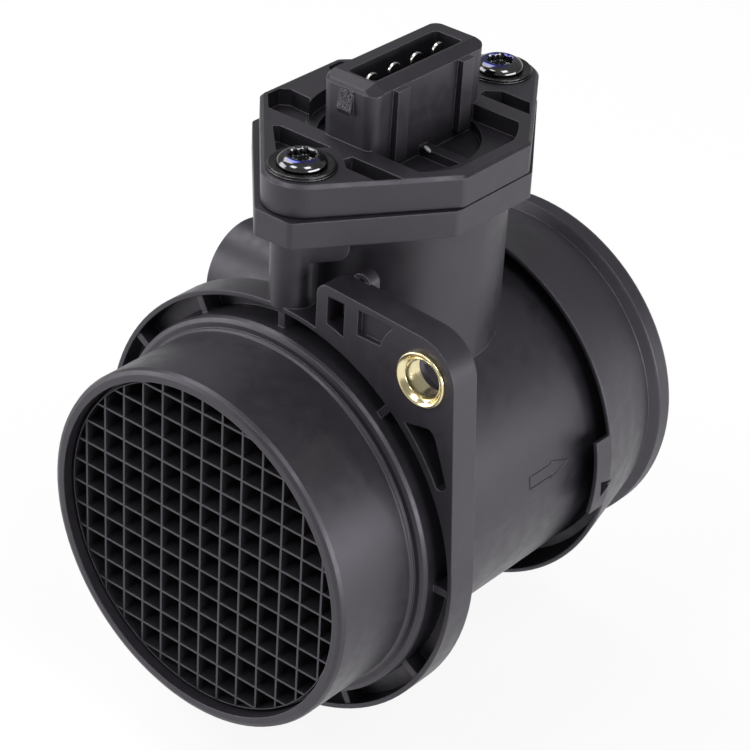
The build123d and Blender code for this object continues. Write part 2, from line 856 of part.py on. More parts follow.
with BuildPart() as power_transistor:
    with BuildSketch(Plane.XY.offset(board_top)):
        with Locations((-chip_offset, tower_y + part_stagger)):
            Rectangle(transistor_width, transistor_length)
    extrude(amount=transistor_height)

finish(power_transistor, "power_transistor")


# ================= screws, washers and bushes =================

def cover_screw(y):
    """Low domed head with a six-lobed recess, on a plain shank."""
    head_foot = cover_top + washer_thickness
    head_top = head_foot + screw_head_height
    tip_z = head_foot - screw_length
    with BuildPart() as screw:
        with BuildSketch(Plane.XZ):
            with BuildLine():
                Polyline(
                    (0, head_top),
                    (0, tip_z),
                    (screw_r * screw_tip_share, tip_z),
                    (screw_r, tip_z + screw_r),
                    (screw_r, head_foot),
                    (screw_head_r, head_foot),
                    (screw_head_r, head_foot + screw_head_edge),
                )
                ThreePointArc(
                    (screw_head_r, head_foot + screw_head_edge),
                    (screw_head_r * dome_x_share, head_foot + screw_head_height * dome_z_share),
                    (0, head_top),
                )
            make_face()
        revolve(axis=Axis.Z)
        with BuildSketch(Plane.XY.offset(head_top - recess_depth)):
            Circle(recess_r)
            with PolarLocations(recess_r + recess_lobe_offset, 6):
                Circle(recess_lobe_r)
        extrude(amount=2 * recess_depth, mode=Mode.SUBTRACT)
    screw.part.locate(Location((screw_x, y, 0)))
    return screw


def cover_washer(y):
    """Plain washer with a broken top edge."""
    with BuildPart() as washer:
        with BuildSketch(Plane.XY.offset(cover_top)):
            with Locations((screw_x, y)):
                Circle(washer_r)
                Circle(screw_clear_r, mode=Mode.SUBTRACT)
        extrude(amount=washer_thickness)
        top_rim = washer.edges().filter_by(GeomType.CIRCLE).group_by(Axis.Z)[-1].sort_by(SortBy.RADIUS)[-1]
        chamfer(top_rim, washer_edge)
    return washer


def flange_bush(plane):
    """Turned brass bush: a sleeve through the ear, with a flared collar on the front."""
    collar_face = flange_back_y + bush_collar_rise
    lip_r = bush_collar_r - bush_lip
    with BuildPart() as bush:
        with BuildSketch(Plane.XY):
            with BuildLine():
                Polyline(
                    (bush_hole_r, 0),
                    (bush_r, 0),
                    (bush_r, flange_back_y),
                    (bush_collar_r, flange_back_y),
                    (bush_collar_r, collar_face - bush_round),
                )
                ThreePointArc(
                    (bush_collar_r, collar_face - bush_round),
                    (bush_collar_r - arc_share * bush_lip, collar_face - arc_share * bush_round),
                    (lip_r, collar_face),
                )
                ThreePointArc(
                    (lip_r, collar_face),
                    (bush_hole_r + bush_throat, collar_face - bush_throat),
                    (bush_hole_r, flange_back_y + fit),
                )
                Line((bush_hole_r, flange_back_y + fit), (bush_hole_r, 0))
            make_face()
        revolve(axis=Axis.Y)
    turned = bush.part.rotate(Axis.Z, 180)
    bush.part = turned.moved(Location(plane.from_local_coords(Vector(bush_x, bush_z, 0))))
    return bush


for end, y in (("front", screw_front_y), ("rear", screw_rear_y)):
    finish(cover_screw(y), f"screw_{end}")
    finish(cover_washer(y), f"washer_{end}")

for side, plane in (("upper", ear_up), ("lower", ear_down)):
    finish(flange_bush(plane), f"bush_{side}")
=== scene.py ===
import json
import math

import bmesh
import bpy
from mathutils import Matrix, Vector
from mathutils.bvhtree import BVHTree
from mathutils.geometry import barycentric_transform


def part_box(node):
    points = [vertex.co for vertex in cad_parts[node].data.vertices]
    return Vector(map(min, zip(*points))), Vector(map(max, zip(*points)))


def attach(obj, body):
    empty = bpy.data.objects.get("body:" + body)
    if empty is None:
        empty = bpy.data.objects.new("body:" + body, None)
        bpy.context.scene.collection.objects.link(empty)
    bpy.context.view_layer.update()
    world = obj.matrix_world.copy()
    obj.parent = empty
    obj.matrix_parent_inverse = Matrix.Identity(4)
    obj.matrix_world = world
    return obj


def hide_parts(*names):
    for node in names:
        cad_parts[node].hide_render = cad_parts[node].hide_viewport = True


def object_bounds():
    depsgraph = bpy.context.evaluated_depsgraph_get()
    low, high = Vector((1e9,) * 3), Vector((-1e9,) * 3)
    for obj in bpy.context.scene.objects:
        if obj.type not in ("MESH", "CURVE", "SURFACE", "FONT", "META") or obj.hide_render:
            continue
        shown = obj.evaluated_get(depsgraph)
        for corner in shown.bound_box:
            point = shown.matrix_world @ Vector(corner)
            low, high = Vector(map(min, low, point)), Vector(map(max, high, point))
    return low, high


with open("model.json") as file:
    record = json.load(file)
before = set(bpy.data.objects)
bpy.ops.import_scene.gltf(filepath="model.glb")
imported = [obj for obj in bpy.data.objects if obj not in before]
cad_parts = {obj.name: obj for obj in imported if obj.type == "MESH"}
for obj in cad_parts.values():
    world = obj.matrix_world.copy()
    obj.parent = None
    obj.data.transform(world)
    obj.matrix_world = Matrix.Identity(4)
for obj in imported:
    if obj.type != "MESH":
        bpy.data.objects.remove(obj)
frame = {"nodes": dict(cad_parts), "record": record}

# Hot-film mass airflow sensor. Lengths are in metres, and mm turns millimetres into them.
# +Y runs with the air, +Z is up, towards the plug.
cad_low, cad_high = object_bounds()
cad_nodes = frame["nodes"]
mm = 0.001
same_place = 0.0001 * mm             # points closer than this are one point
cover_seat = 58.2 * mm               # where the washers lie on the cover
cover_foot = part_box("module_cover")[0].z
body_radius = 29.2                   # in mm, as the next three are
skirt_radius, skirt_bend_y, skirt_end_y = 32.8, 44.8, 60.0
up = Vector((0.0, 0.0, 1.0))
downstream = Vector((0.0, 1.0, 0.0))


# ---------------------------------------------------------------- camera

def place_camera():
    """Long lens, above and to the right of the inlet."""
    place = Vector((222.9, -256.69, 234.83)) * mm
    right = Vector((0.76218661, 0.64543380, 0.04986766))
    down = Vector((0.37273147, -0.37456055, -0.84898507))
    ahead = Vector((-0.52928520, 0.66567230, -0.52605852))
    lens = bpy.data.cameras.new("studio_camera")
    lens.lens = 126.32
    lens.sensor_width = 36.0
    lens.clip_start = 0.05
    lens.clip_end = 20.0
    camera = bpy.data.objects.new("studio_camera", lens)
    bpy.context.scene.collection.objects.link(camera)
    turn = Matrix((right, -down, -ahead)).transposed()
    camera.matrix_world = Matrix.Translation(place) @ turn.to_4x4()
    bpy.context.scene.camera = camera


# ---------------------------------------------------------------- node helpers

def fresh_material(name):
    """An empty material with its principled shader, ready for nodes."""
    material = bpy.data.materials.new(name)
    material.use_nodes = True
    tree = material.node_tree
    shader = tree.nodes["Principled BSDF"]
    return material, tree, shader


def add_node(tree, kind, settings=(), **values):
    """A node with its settings and inputs filled in.

    An input is given by its name, or as i0, i1 and so on by its number. A socket as a value is linked.
    """
    node = tree.nodes.new(kind)
    for key, value in settings:
        setattr(node, key, value)
    for key, value in values.items():
        by_number = key[0] == "i" and key[1:].isdigit()
        socket = node.inputs[int(key[1:]) if by_number else key]
        if isinstance(value, bpy.types.NodeSocket):
            tree.links.new(value, socket)
        else:
            socket.default_value = value
    return node


def grain(tree, scale, detail=2.0, stretch=None):
    """Noise on the piece's own coordinates, as a factor from 0 to 1."""
    place = tree.nodes.new("ShaderNodeTexCoord").outputs["Object"]
    if stretch:
        place = add_node(tree, "ShaderNodeMapping", Vector=place, Scale=stretch).outputs["Vector"]
    return add_node(tree, "ShaderNodeTexNoise", Vector=place, Scale=scale, Detail=detail).outputs["Fac"]


def between(tree, factor, low, high, start=0.0, end=1.0):
    """The factor, taken from start..end to low..high."""
    node = add_node(tree, "ShaderNodeMapRange", i0=factor, i1=start, i2=end, i3=low, i4=high)
    return node.outputs["Result"]


def tint(tree, factor, first, second):
    """A colour that runs from the first to the second with the factor."""
    node = add_node(tree, "ShaderNodeMix", settings=(("data_type", "RGBA"),))
    tree.links.new(factor, node.inputs["Factor"])
    for name, colour in (("A", first), ("B", second)):
        socket = [s for s in node.inputs if s.name == name and s.type == "RGBA"][0]
        if isinstance(colour, bpy.types.NodeSocket):
            tree.links.new(colour, socket)
        else:
            socket.default_value = (*colour, 1.0)
    return [s for s in node.outputs if s.type == "RGBA"][0]


def joined(tree, operation, first, second):
    """The result of one step of arithmetic on two factors."""
    node = add_node(tree, "ShaderNodeMath", settings=(("operation", operation),), i0=first, i1=second)
    return node.outputs[0]


def worn_and_highlit_edges(tree, radius, gain):
    """Rounded edge normal, and a factor that rises to the gain along sharp edges; the factor lightens the
    edges, partly as wear and partly as a painted highlight.
    """
    sharp, flat = 0.72, 0.985
    rounded = add_node(tree, "ShaderNodeBevel", settings=(("samples", 6),), Radius=radius).outputs["Normal"]
    plain = tree.nodes.new("ShaderNodeNewGeometry").outputs["Normal"]
    turn = add_node(tree, "ShaderNodeVectorMath", settings=(("operation", "DOT_PRODUCT"),),
                    i0=rounded, i1=plain)
    return rounded, between(tree, turn.outputs["Value"], gain, 0.0, sharp, flat)


def roughen(tree, shader, height, strength, depth, normal=None):
    """Bump of the given depth in mm on the shader's normal."""
    given = {} if normal is None else {"Normal": normal}
    bump = add_node(tree, "ShaderNodeBump", Height=height, Strength=strength, Distance=depth * mm, **given)
    tree.links.new(bump.outputs["Normal"], shader.inputs["Normal"])


def shaded(tone, share):
    """The tone made darker or lighter."""
    return tuple(share * part for part in tone)


# ---------------------------------------------------------------- finishes

def moulded_plastic(name, tone, edge_wear_and_highlight_tone, roughness=(0.38, 0.48), edge_radius=0.28, ior=1.58):
    """Glass-filled black plastic: spark-eroded grain, faint flow clouds and lighter, smoother edges, whose
    lighter tone is partly wear and partly a painted highlight.
    """
    material, tree, shader = fresh_material(name)
    rounded, edge = worn_and_highlit_edges(tree, edge_radius * mm, 0.75)
    clouds = between(tree, grain(tree, 70.0, 3.0), 0.0, 1.0, 0.3, 0.7)
    speckle = between(tree, grain(tree, 2600.0, 1.0), 0.0, 0.35, 0.52, 0.8)
    body = tint(tree, clouds, shaded(tone, 0.82), shaded(tone, 1.22))
    body = tint(tree, speckle, body, shaded(tone, 1.7))
    # Lighter edges: partly wear, partly a painted highlight.
    tree.links.new(tint(tree, edge, body, edge_wear_and_highlight_tone), shader.inputs["Base Color"])
    tree.links.new(between(tree, grain(tree, 420.0), *roughness, 0.3, 0.7), shader.inputs["Roughness"])
    shader.inputs["IOR"].default_value = ior
    shader.inputs["Specular Tint"].default_value = (1.0, 0.935, 1.07, 1.0)
    roughen(tree, shader, grain(tree, 1500.0), 0.5, 0.012, rounded)
    return material


def turned_brass(name):
    """Polished brass with fine turning lines and a slightly duller, deeper tone here and there."""
    material, tree, shader = fresh_material(name)
    rounded, edge = worn_and_highlit_edges(tree, 0.05 * mm, 1.0)
    stain = between(tree, grain(tree, 260.0, 3.0), 0.0, 1.0, 0.35, 0.75)
    body = tint(tree, stain, (0.88, 0.79, 0.50), (0.76, 0.64, 0.36))
    # Pale cream edges: partly wear, partly a painted highlight.
    tree.links.new(tint(tree, edge, body, (1.0, 0.95, 0.76)), shader.inputs["Base Color"])
    shader.inputs["Metallic"].default_value = 1.0
    lines = grain(tree, 900.0, 1.0, stretch=(0.25, 6.0, 0.25))
    tree.links.new(between(tree, lines, 0.15, 0.28, 0.3, 0.7), shader.inputs["Roughness"])
    roughen(tree, shader, lines, 0.25, 0.01, rounded)
    return material


def blue_crown_patches(tree, body):
    """The body colour, with blue patches on the crown about a screw's socket."""
    place = tree.nodes.new("ShaderNodeTexCoord").outputs["Object"]
    height = add_node(tree, "ShaderNodeSeparateXYZ", Vector=place).outputs["Z"]
    crown = between(tree, height, 0.0, 1.0, cover_seat + 1.74 * mm, cover_seat + 1.93 * mm)
    patches = between(tree, grain(tree, 330.0, 1.0), 0.0, 1.0, 0.48, 0.58)
    return tint(tree, joined(tree, "MULTIPLY", crown, patches), body, (0.06, 0.07, 0.30))


def plated_metal(name, tone, edge_wear_and_highlight_tone, roughness, blue_patches=False):
    """Plated metal with fine scratches and brighter edges, partly worn plating and partly a painted
    highlight.
    """
    material, tree, shader = fresh_material(name)
    rounded, edge = worn_and_highlit_edges(tree, 0.15 * mm, 1.0)
    stain = between(tree, grain(tree, 500.0, 3.0), 0.0, 1.0, 0.35, 0.7)
    body = tint(tree, stain, tone, shaded(tone, 0.7))
    if blue_patches:
        body = blue_crown_patches(tree, body)
    # Brighter edges: partly wear, partly a painted highlight.
    tree.links.new(tint(tree, edge, body, edge_wear_and_highlight_tone), shader.inputs["Base Color"])
    shader.inputs["Metallic"].default_value = 1.0
    marks = grain(tree, 1400.0, stretch=(1.0, 0.2, 1.0))
    tree.links.new(between(tree, marks, *roughness, 0.3, 0.7), shader.inputs["Roughness"])
    roughen(tree, shader, marks, 0.2, 0.008, rounded)
    return material


def mottled_finish(name, tone, second_tone, roughness, scale=400.0, coat=0.0):
    """Small electronic parts: two close tones, a soft bump and, for glazed ones, a clear coat."""
    material, tree, shader = fresh_material(name)
    spots = grain(tree, scale, 3.0)
    body = tint(tree, between(tree, spots, 0.0, 1.0, 0.35, 0.65), tone, second_tone)
    tree.links.new(body, shader.inputs["Base Color"])
    tree.links.new(between(tree, spots, *roughness, 0.3, 0.7), shader.inputs["Roughness"])
    shader.inputs["Coat Weight"].default_value = coat
    roughen(tree, shader, spots, 0.3, 0.01)
    return material


# Each row: the name, the tone, the tone of the edges or spots, then what differs from the usual. The lighter
# edge tones are partly wear and partly a painted highlight.
recipes = (
    (moulded_plastic, (
        ("housing_plastic", (0.0115, 0.0104, 0.0132), (0.075, 0.072, 0.080), {}),
        ("grid_plastic", (0.013, 0.0121, 0.0147), (0.10, 0.096, 0.105), {"edge_radius": 0.12}),
        ("collar_plastic", (0.0135, 0.0123, 0.0155), (0.075, 0.072, 0.080), {}),
        # The cover's bright edge tone paints the highlight along its top edges, and is partly wear.
        ("cover_plastic", (0.0095, 0.0086, 0.0110), (0.13, 0.125, 0.135), {"edge_radius": 0.22}),
        ("insert_plastic", (0.016, 0.016, 0.018), (0.06, 0.06, 0.062), {}),
        # Lighter than the cover: painted light on the latches' up-facing faces.
        ("grain_plastic", (0.06, 0.058, 0.065), (0.20, 0.195, 0.21), {"roughness": (0.3, 0.45)}),
        # Near-black and barely reflecting: painted shade of a recessed triangle mark.
        ("mark_plastic", (0.004, 0.004, 0.005), (0.006, 0.006, 0.007),
         {"roughness": (0.7, 0.8), "ior": 1.12}),
        # Light grey: a painted glint on the gate stub.
        ("polished_plastic", (0.35, 0.35, 0.36), (0.6, 0.6, 0.6), {"roughness": (0.05, 0.1)}),
    )),
    (plated_metal, (
        ("terminal_metal", (0.72, 0.71, 0.68), (0.9, 0.89, 0.86), {"roughness": (0.12, 0.28)}),
        ("screw_steel", (0.14, 0.14, 0.145), (0.42, 0.42, 0.43), {"roughness": (0.07, 0.15), "blue_patches": True}),
        ("washer_steel", (0.065, 0.065, 0.068), (0.22, 0.22, 0.225), {"roughness": (0.24, 0.38)}),
        ("heat_sink_metal", (0.74, 0.74, 0.75), (0.9, 0.9, 0.9), {"roughness": (0.25, 0.40)}),
    )),
    (mottled_finish, (
        ("board_laminate", (0.03, 0.12, 0.05), (0.02, 0.08, 0.035), {"roughness": (0.25, 0.4), "coat": 0.4}),
        ("chip_plastic", (0.015, 0.015, 0.017), (0.03, 0.03, 0.033),
         {"roughness": (0.45, 0.6), "scale": 1500.0}),
        ("film_ceramic", (0.80, 0.79, 0.74), (0.70, 0.68, 0.62), {"roughness": (0.15, 0.3), "coat": 0.6}),
        ("sensor_glass", (0.20, 0.06, 0.03), (0.12, 0.035, 0.02), {"roughness": (0.06, 0.15), "coat": 1.0}),
        ("seal_rubber", (0.018, 0.018, 0.018), (0.03, 0.03, 0.03),
         {"roughness": (0.6, 0.75), "scale": 900.0}),
    )),
)
finishes = {"bush_brass": turned_brass("bush_brass")}
for recipe, rows in recipes:
    for name, tone, second_tone, settings in rows:
        finishes[name] = recipe(name, tone, second_tone, **settings)


def dress_cad_nodes():
    """Each carried-over solid takes the finish of its own material slot."""
    slots = {part["node"]: part["material_slot"] for part in frame["record"]["subparts"]}
    for name, node in cad_nodes.items():
        node.data.materials.clear()
        node.data.materials.append(finishes[slots[name]])


# ---------------------------------------------------------------- turned pieces

def box_middle(node):
    """Middle of a solid's box."""
    low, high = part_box(node)
    return (low + high) / 2


def add_piece(name, mesh, finish, nodes=()):
    """An object at the origin that rides on the body and stands for the given solids."""
    piece = bpy.data.objects.new(name, mesh)
    bpy.context.scene.collection.objects.link(piece)
    mesh.materials.clear()
    mesh.materials.append(finish)
    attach(piece, "root")
    if nodes:
        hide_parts(*nodes)
    return piece


def stand_in(node, mesh, slot_name):
    """A piece that stands for one solid and has the finish of that solid's slot."""
    return add_piece(f"{node}_piece", mesh, finishes[slot_name], (node,))


def closed_mesh(name, verts, faces, angle=None):
    """A closed mesh whose faces point outwards.

    It has smooth shading over edges of up to the angle in degrees, or flat faces.
    """
    mesh = bpy.data.meshes.new(name)
    mesh.from_pydata(verts, [], faces)
    mesh.validate()
    form = bmesh.new()
    form.from_mesh(mesh)
    bmesh.ops.remove_doubles(form, verts=form.verts, dist=same_place)
    bmesh.ops.recalc_face_normals(form, faces=form.faces)
    form.to_mesh(mesh)
    form.free()
    if angle is not None:
        mesh.shade_smooth()
        mesh.set_sharp_from_angle(angle=math.radians(angle))
    return mesh


def turned_mesh(name, outline, centre, axis, steps=96, lobes=0, swing=0.0, swung=()):
    """Turned form: the outline's points are (radius, height) in mm along the axis.

    The radii of the swung points go in and out with the angle, which gives a lobed socket.
    """
    side = Vector((1.0, 0.0, 0.0)) if abs(axis.x) < 0.5 else Vector((0.0, 1.0, 0.0))
    side = (side - axis * side.dot(axis)).normalized()
    other = axis.cross(side)
    verts, rings, faces = [], [], []
    for index, (radius, height) in enumerate(outline):
        base = centre + axis * (height * mm)
        if radius == 0.0:
            rings.append([len(verts)] * steps)
            verts.append(base)
            continue
        rings.append(list(range(len(verts), len(verts) + steps)))
        for step in range(steps):
            turn = 2.0 * math.pi * step / steps
            lobe = swing * math.cos(lobes * turn) if index in swung else 0.0
            reach = radius * mm * (1.0 + lobe)
            verts.append(base + (side * math.cos(turn) + other * math.sin(turn)) * reach)
    for first, second in zip(rings, rings[1:]):
        for step in range(steps):
            after = (step + 1) % steps
            corners = [first[step], first[after], second[after], second[step]]
            faces.append(list(dict.fromkeys(corners)))
    return closed_mesh(name, verts, faces, angle=32.0)


def arc(first, middle, last, count):
    """Points of a smooth bend from first to last that leans towards the middle point."""
    points = []
    for step in range(count + 1):
        t = step / count
        points.append(tuple((1 - t) ** 2 * a + 2 * t * (1 - t) * b + t * t * c
                            for a, b, c in zip(first, middle, last)))
    return points


def cover_screw(end):
    """Button head with a lobed socket, on its plain shank."""
    node = f"screw_{end}"
    middle = box_middle(node)
    tip = (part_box(node)[0].z - cover_seat) / mm
    socket = [(0.0, 0.55), (1.5, 0.6), (1.95, 0.75), (2.05, 1.7), (2.15, 1.88), (2.25, 1.97)]
    dome = arc((3.75, 0.95), (3.45, 1.75), (2.35, 2.0), 10)[::-1]
    rim = [(3.78, 0.8), (3.7, 0.62), (3.5, 0.55)]
    shank = [(2.0, 0.5), (2.0, tip + 1.6), (1.2, tip), (0.0, tip)]
    seat = Vector((middle.x, middle.y, cover_seat))
    mesh = turned_mesh(f"{node}_piece", socket + dome + rim + shank, seat, up,
                       steps=120, lobes=6, swing=0.10, swung=(1, 2, 3, 4))
    return stand_in(node, mesh, "screw_steel")


def cover_washer(end):
    """Washer with a flat, slightly dished face and two stacked rims."""
    node = f"washer_{end}"
    middle = box_middle(node)
    lower_rim = [(2.2, 0.0), (5.2, 0.0), (5.28, 0.06), (5.28, 0.2), (5.2, 0.27), (5.0, 0.28), (4.93, 0.33)]
    upper_rim = [(4.93, 0.38), (5.05, 0.42), (5.08, 0.5), (5.02, 0.6), (4.85, 0.64)]
    face = [(4.6, 0.6), (3.9, 0.52), (3.6, 0.5), (2.2, 0.5), (2.2, 0.0)]
    seat = Vector((middle.x, middle.y, cover_seat))
    mesh = turned_mesh(f"{node}_piece", lower_rim + upper_rim + face, seat, up, steps=128)
    return stand_in(node, mesh, "washer_steel")


def flange_bush(side):
    """Brass bush: a rounded lip, a funnel, a fine ring and then the bore."""
    node = f"bush_{side}"
    middle = box_middle(node)
    barrel = [(4.0, 3.4), (4.0, 0.02), (4.36, 0.0), (4.42, -0.15), (4.42, -0.45)]
    lip = arc((4.42, -0.45), (4.4, -0.72), (4.12, -0.7), 6)
    funnel = arc((4.12, -0.7), (3.9, -0.66), (3.62, -0.32), 6)
    ring = [(3.36, 0.0), (3.3, 0.04), (3.27, 0.0), (3.22, -0.04), (3.17, 0.02), (3.14, 0.12)]
    bore = [(3.14, 1.6), (3.14, 2.6), (3.2, 3.3), (3.4, 3.4), (4.0, 3.4)]
    mouth = Vector((middle.x, 0.0, middle.z))
    mesh = turned_mesh(f"{node}_piece", barrel + lip + funnel + ring + bore, mouth, downstream, steps=128)
    return stand_in(node, mesh, "bush_brass")


# ---------------------------------------------------------------- cover and terminals

def corner_normals(source, faces):
    """For every corner of the cut faces, the normal that the uncut mesh has at the same place."""
    source.calc_loop_triangles()
    points = [vert.co for vert in source.vertices]
    tree = BVHTree.FromPolygons(points, [tuple(triangle.vertices) for triangle in source.loop_triangles])
    lists = []
    for face in faces:
        index = tree.find_nearest(face.calc_center_median())[2]
        triangle = source.loop_triangles[index]
        ends = [points[i] for i in triangle.vertices]
        normals = [source.corner_normals[i].vector for i in triangle.loops]
        lists.append([barycentric_transform(corner.vert.co, *ends, *normals).normalized()
                      for corner in face.loops])
    return lists


def cut_across(form, y, above):
    """Splits the faces that reach above the given height along one plane across the duct, both in mm."""
    upper = [face for face in form.faces if max(vert.co.z for vert in face.verts) > above * mm]
    edges = dict.fromkeys(edge for face in upper for edge in face.edges)
    corners = dict.fromkeys(vert for face in upper for vert in face.verts)
    bmesh.ops.bisect_plane(form, geom=[*corners, *edges, *upper], plane_co=downstream * y * mm,
                           plane_no=downstream)


def module_cover():
    """The cover, with the end of the plug's rim that carries the front latch sloping down to the outside."""
    inner_edge, outer_edge, drop = 16.1, 13.2, 0.75
    plug_top, rim_top = 66.0, 66.95
    source = cad_nodes["module_cover"].data
    form = bmesh.new()
    form.from_mesh(source)
    bmesh.ops.remove_doubles(form, verts=form.verts, dist=same_place)
    cut_across(form, inner_edge, plug_top)
    cut_across(form, outer_edge + 0.5, plug_top)
    kept = corner_normals(source, form.faces)
    lowered = set()
    for vert in form.verts:
        y, z = vert.co.y / mm, vert.co.z / mm
        if z > rim_top and y < inner_edge:
            vert.co.z -= drop * mm * min(1.0, (inner_edge - y) / (inner_edge - outer_edge))
            lowered.add(vert)
    form.normal_update()
    normals = []
    for face, old in zip(form.faces, kept):
        face.smooth = True
        sloped = old[0].z > 0.9 and lowered.intersection(face.verts)
        normals += [face.normal.copy()] * len(old) if sloped else old
    mesh = bpy.data.meshes.new("module_cover_piece")
    form.to_mesh(mesh)
    form.free()
    mesh.normals_split_custom_set(normals)
    return stand_in("module_cover", mesh, "cover_plastic")


def terminal_blade(number):
    """Flat blade with a round tip and broken edges, on its narrow leg."""
    node = f"terminal_pin_{number}"
    middle = box_middle(node)
    low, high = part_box(node)
    half_width, half_thick, half_flat, half_leg = (high.y - low.y) / 2, 0.24 * mm, 0.15 * mm, 0.6 * mm
    edge_break, tip_steps = 0.12 * mm, 16
    shoulder = high.z - half_width
    verts, faces = [], []
    layers = ((-half_thick, edge_break), (-half_flat, 0.0), (half_flat, 0.0), (half_thick, edge_break))
    for x, inset in layers:
        width = half_width - inset
        ring = [(-width, cover_foot)]
        for step in range(tip_steps + 1):
            turn = math.pi * step / tip_steps
            ring.append((-width * math.cos(turn), shoulder + width * math.sin(turn)))
        ring += [(width, cover_foot), (half_leg, cover_foot), (half_leg, low.z), (-half_leg, low.z),
                 (-half_leg, cover_foot)]
        verts += [Vector((middle.x + x, middle.y + y, z)) for y, z in ring]
    count = len(ring)
    for start in range(0, 3 * count, count):
        for i in range(count):
            after = (i + 1) % count
            faces.append((start + i, start + after, start + count + after, start + count + i))
    faces += [range(count)[::-1], range(3 * count, 4 * count)]
    return stand_in(node, closed_mesh(f"{node}_piece", verts, faces, angle=25.0), "terminal_metal")


# ---------------------------------------------------------------- grown details

def geometry_tree(name, inputs):
    """A geometry node group with named inputs: {name: (socket type, value)}."""
    tree = bpy.data.node_groups.new(name, "GeometryNodeTree")
    tree.interface.new_socket(name="Geometry", in_out="INPUT", socket_type="NodeSocketGeometry")
    for label, (kind, _) in inputs.items():
        tree.interface.new_socket(name=label, in_out="INPUT", socket_type=kind)
    tree.interface.new_socket(name="Geometry", in_out="OUTPUT", socket_type="NodeSocketGeometry")
    return tree, tree.nodes.new("NodeGroupInput").outputs, tree.nodes.new("NodeGroupOutput").inputs


def end_tree(tree, geometry, given, result):
    """The tree's end: real geometry in the given finish."""
    whole = add_node(tree, "GeometryNodeRealizeInstances", Geometry=geometry)
    dressed = add_node(tree, "GeometryNodeSetMaterial", Geometry=whole.outputs["Geometry"],
                       Material=given["Finish"])
    tree.links.new(dressed.outputs["Geometry"], result["Geometry"])


def grown_mesh(name, verts, edges, faces, tree, inputs):
    """The mesh that the node group grows on a carrier, with the group's named inputs filled in."""
    carrier_mesh = bpy.data.meshes.new(name + "_carrier")
    carrier_mesh.from_pydata(verts, edges, faces)
    carrier = bpy.data.objects.new(name + "_carrier", carrier_mesh)
    bpy.context.scene.collection.objects.link(carrier)
    modifier = carrier.modifiers.new("grow", "NODES")
    modifier.node_group = tree
    for item in tree.interface.items_tree:
        if item.in_out == "INPUT" and item.name in inputs:
            modifier[item.identifier] = inputs[item.name][1]
    bpy.context.view_layer.update()
    mesh = bpy.data.meshes.new_from_object(carrier.evaluated_get(bpy.context.evaluated_depsgraph_get()))
    carrier.modifiers.remove(modifier)
    bpy.data.objects.remove(carrier)
    mesh.name = name
    mesh.shade_smooth()
    return mesh


def pebbled_patch(name, corners, pip, finish):
    """Spark-eroded grain on a small face: a scatter of low pips of mixed size."""
    inputs = {"Density": ("NodeSocketFloat", 5.5e7), "Pip": ("NodeSocketFloat", pip * mm),
              "Finish": ("NodeSocketMaterial", finish)}
    smallest, largest = 0.55, 1.35
    tree, given, result = geometry_tree(name + "_tree", inputs)
    spread = add_node(tree, "GeometryNodeDistributePointsOnFaces", Mesh=given["Geometry"],
                      Density=given["Density"], Seed=7)
    ball = add_node(tree, "GeometryNodeMeshIcoSphere", Radius=given["Pip"], Subdivisions=2)
    size = add_node(tree, "FunctionNodeRandomValue", i2=smallest, i3=largest, Seed=3)
    placed = add_node(tree, "GeometryNodeInstanceOnPoints", Points=spread.outputs["Points"],
                      Instance=ball.outputs["Mesh"], Scale=size.outputs[1])
    end_tree(tree, placed.outputs["Instances"], given, result)
    return add_piece(name, grown_mesh(name, corners, [], [(0, 1, 2, 3)], tree, inputs), finish)


def raised_line(name, points, radius, finish):
    """A fine raised line along a closed row of points."""
    inputs = {"Radius": ("NodeSocketFloat", radius * mm), "Finish": ("NodeSocketMaterial", finish)}
    tree, given, result = geometry_tree(name + "_tree", inputs)
    path = add_node(tree, "GeometryNodeMeshToCurve", Mesh=given["Geometry"])
    section = add_node(tree, "GeometryNodeCurvePrimitiveCircle", Resolution=10, Radius=given["Radius"])
    swept = add_node(tree, "GeometryNodeCurveToMesh", Curve=path.outputs["Curve"])
    tree.links.new(section.outputs["Curve"], swept.inputs["Profile Curve"])
    end_tree(tree, swept.outputs["Mesh"], given, result)
    edges = [(i, (i + 1) % len(points)) for i in range(len(points))]
    return add_piece(name, grown_mesh(name, points, edges, [], tree, inputs), finish)


def on_duct(radius, angle, y):
    """Point on a round surface about the duct's axis: the angle is in degrees above +X."""
    turn = math.radians(angle)
    return Vector((radius * math.cos(turn), y, radius * math.sin(turn))) * mm


def skirt_outside(y):
    """Outside radius of the collar's skirt: level along the tab, then narrowing downstream."""
    narrowing = (skirt_radius - body_radius) / (skirt_end_y - skirt_bend_y)
    return skirt_radius - max(0.0, y - skirt_bend_y) * narrowing


def along_outline(corners, steps):
    """Points along a closed outline of (y, angle) corners, in even steps on each side."""
    points = []
    for (y0, a0), (y1, a1) in zip(corners, corners[1:] + corners[:1]):
        points += [(y0 + (y1 - y0) * step / steps, a0 + (a1 - a0) * step / steps) for step in range(steps)]
    return points


def flow_arrow():
    """Outline of an arrow that points downstream, raised on the tube's right side."""
    tail_y, neck_y, tip_y, line_radius = 28.0, 33.5, 38.0, 0.13
    corners = [(tail_y, 5.6), (neck_y, 5.6), (neck_y, 4.6), (tip_y, 7.6), (neck_y, 10.7), (neck_y, 9.8),
               (tail_y, 9.8)]
    points = [on_duct(body_radius, angle, y) for y, angle in along_outline(corners, 8)]
    return raised_line("flow_arrow", points, line_radius, finishes["housing_plastic"])


